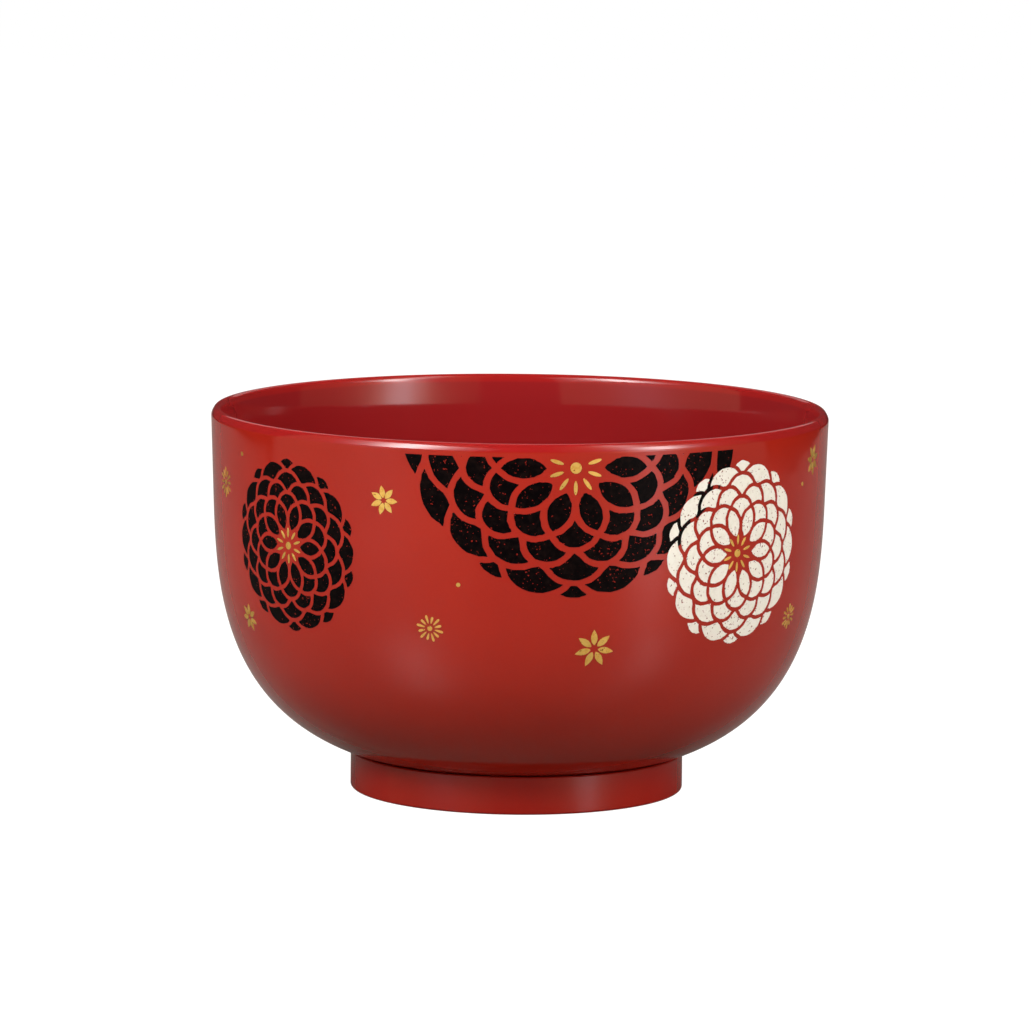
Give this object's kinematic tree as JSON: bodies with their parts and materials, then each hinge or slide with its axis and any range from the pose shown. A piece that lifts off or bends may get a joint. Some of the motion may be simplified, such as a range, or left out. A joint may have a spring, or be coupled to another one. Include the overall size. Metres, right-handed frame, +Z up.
{
  "type": "donburi bowl",
  "caption": "Deep round bowl with near-upright sides, a rounded lip and a bonded foot ring, in red lacquer with printed chrysanthemums, for rice and noodle dishes.",
  "frame": {"origin": "centre of the foot's bearing land, on the surface the bowl stands on", "axes": "+Z up along the bowl's axis of turning, -Y towards the viewer of the picture"},
  "size_m": [0.15, 0.15, 0.0933],
  "materials": {
    "red_lacquer": "gloss red lacquer",
    "foot_lacquer": "gloss red lacquer, thinner coat",
    "black_print": "printed black with fine pinholes, under gloss",
    "ivory_print": "printed ivory with fine flecks, under gloss",
    "gold_print": "printed gold powder, soft satin"
  },
  "bodies": {
    "root": {"bowl_body": "red_lacquer", "foot_ring": "foot_lacquer"}
  },
  "joints": []
}
